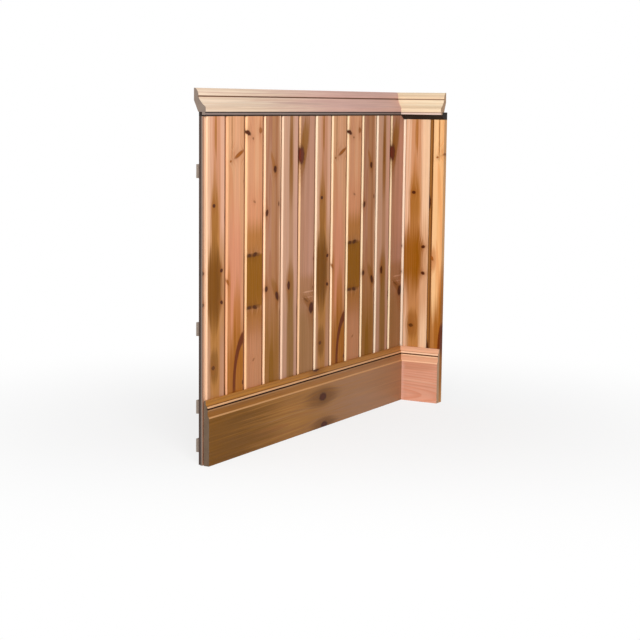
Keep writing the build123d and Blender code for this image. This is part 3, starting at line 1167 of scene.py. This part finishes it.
def skirting_section():
    """Skirting: flat, bead, cove, bead, groove, bead, quirk and hollow cap, as in the CAD model."""
    outline = path(
        (5.5, 160.0),
        (0, 160.0),
        (0, 0),
        (15.0, 0),
        (15.0, 116.5),
        arc((15.0, 116.5), (13.0, 121.0), -1.0, 6),
        arc((13.0, 121.0), (11.2, 134.0), 1.4, 8),
        arc((11.2, 134.0), (10.6, 138.0), -1.0, 6),
        (8.4, 138.0),
        (8.4, 141.0),
        (10.6, 141.0),
        arc((10.6, 141.0), (8.6, 146.5), -1.0, 6),
        (7.8, 146.5),
        arc((7.8, 146.5), (5.5, 160.0), 1.4, 8)[:-1],
    )
    return eased(outline, 0.4)


def make_mouldings():
    """The rails and skirtings of both runs, mitred where they meet. A right piece stands forward of
    the corner by the given amount, and the left one ends short of it by as much."""
    rails = (rail_section(WALL_PLANE), rail_section(WALL_PLANE - RIGHT_FORWARD))
    kinds = (
        ("dado_rail", "rail", RIGHT_FORWARD, END_GREY, rails,
         ((RAIL_WOOD, RAIL_LINES), (RAIL_WOOD_SHORT, RAIL_LINES_SHORT))),
        ("skirting", "skirting", 0, END_BROWN, (skirting_section(), skirting_section()),
         ((SKIRTING_WOOD, SKIRTING_LINES), (SKIRTING_WOOD_SHORT, SKIRTING_LINES_SHORT))),
    )
    for node, stock, forward, sawn, sections, woods in kinds:
        left, right = (
            wood_material(f"pine_{stock}_{run}", run, wood, level=True, lines=lines)
            for run, (wood, lines) in zip(("long", "short"), woods)
        )
        piece = moulding(f"pine_{node}_left", "long", sections[0], 0, CORNER - forward,
                         [left, sawn], end_mitre=-1.0)
        settle(piece, f"{node}_left")
        piece = moulding(f"pine_{node}_right", "short", sections[1], -forward, SHORT_LENGTH,
                         [right, END_PINE], start_mitre=1.0)
        settle(piece, f"{node}_right")


make_mouldings()

for node in frame["nodes"]:
    material = None
    # The bed strips are coloured nearly black: painted shade under the rail.
    if node.startswith("bed_strip"):
        material = DARK_STRIP
    if node.startswith("batten"):
        run = "long" if "left" in node else "short"
        material = wood_material(f"rough_{node}", run, BATTEN_WOOD, level=True)
    if material:
        mesh = frame["nodes"][node].data
        mesh.materials.clear()
        mesh.materials.append(material)


# Floor, light and camera

def floor():
    """A pale floor, a disc of 6 m whose paleness is shown plainly to the camera."""
    turn = np.linspace(0, 2 * math.pi, 97)[:-1]
    ring = np.stack((6 * np.cos(turn), 6 * np.sin(turn), np.full(96, -0.0005)), axis=1)
    mesh = bpy.data.meshes.new("studio_floor")
    mesh.from_pydata(ring.tolist(), [], [list(range(96))])
    material, net = new_material("studio_floor_white")
    plain = net.node("ShaderNodeBsdfDiffuse", {"Color": srgb(240, 240, 240)})
    glow = net.node("ShaderNodeEmission", {"Color": WHITE, "Strength": 1.0})
    ray = net.node("ShaderNodeLightPath")
    direct = net.math("MAXIMUM", ray.outputs["Is Camera Ray"], ray.outputs["Is Glossy Ray"])
    place = net.node("ShaderNodeTexCoord").outputs["Object"]
    far = net.node("ShaderNodeVectorMath", {0: place}, operation="LENGTH").outputs["Value"]
    shown = net.times(direct, net.step(far, 0.2, 1.6, 0.75, 1.0))
    mixed = net.node("ShaderNodeMixShader", {0: shown, 1: plain.outputs[0], 2: glow.outputs[0]})
    net.output(mixed)
    mesh.materials.append(material)
    ground = bpy.data.objects.new("studio_floor", mesh)
    bpy.context.scene.collection.objects.link(ground)


def world(level):
    """A white room: its light is soft and even, and the camera sees plain white."""
    scene_world = bpy.data.worlds.new("white_room")
    bpy.context.scene.world = scene_world
    scene_world.use_nodes = True
    net = Net(scene_world.node_tree)
    net.tree.nodes.clear()
    ray = net.node("ShaderNodeLightPath")
    seen = net.math("MAXIMUM", ray.outputs["Is Camera Ray"], ray.outputs["Is Glossy Ray"])
    strength = net.plus(net.times(seen, 1.0 - level), level)
    background = net.node("ShaderNodeBackground", {"Color": WHITE, "Strength": strength})
    net.output(background, "ShaderNodeOutputWorld")


def lamp(name, place, aim, size, energy):
    """A square soft lamp at place, turned to aim."""
    light = bpy.data.lights.new(name, "AREA")
    light.size = size
    light.energy = energy
    back = np.array(place, float) - np.array(aim, float)
    back /= np.linalg.norm(back)
    side = np.cross((0, 0, 1), back)
    side /= np.linalg.norm(side)
    up = np.cross(back, side)
    holder = bpy.data.objects.new(name, light)
    turn = Matrix(np.stack((side, up, back), axis=1).tolist()).to_4x4()
    holder.matrix_world = Matrix.Translation(place) @ turn
    bpy.context.scene.collection.objects.link(holder)


def camera():
    """The photograph's view: a long lens from the left front, a little above the middle."""
    yaw, pitch, roll = (math.radians(v) for v in (60.765, 7.778, 0.634))
    view = np.array((math.sin(yaw) * math.cos(pitch), math.cos(yaw) * math.cos(pitch), -math.sin(pitch)))
    right = np.array((math.cos(yaw), -math.sin(yaw), 0.0))
    up = np.cross(right, view)
    rolled_right = math.cos(roll) * right + math.sin(roll) * up
    rolled_up = math.cos(roll) * up - math.sin(roll) * right
    data = bpy.data.cameras.new("camera")
    data.lens = 89.64
    data.sensor_width = 36.0
    data.clip_start = 0.05
    holder = bpy.data.objects.new("camera", data)
    turn = Matrix(np.stack((rolled_right, rolled_up, -view), axis=1).tolist()).to_4x4()
    holder.matrix_world = Matrix.Translation((-3.6993, -2.0337, 0.8751)) @ turn
    bpy.context.scene.collection.objects.link(holder)
    bpy.context.scene.camera = holder


floor()
world(0.36)
lamp("key_lamp", (-2.0, -1.2, 1.5), (-0.2, 0.0, 0.5), 1.0, 42.0)
lamp("fill_lamp", (-6.0, -0.6, 1.2), (0.5, 0.0, 0.5), 1.6, 105.0)
camera()
bpy.context.scene.view_settings.view_transform = "Standard"
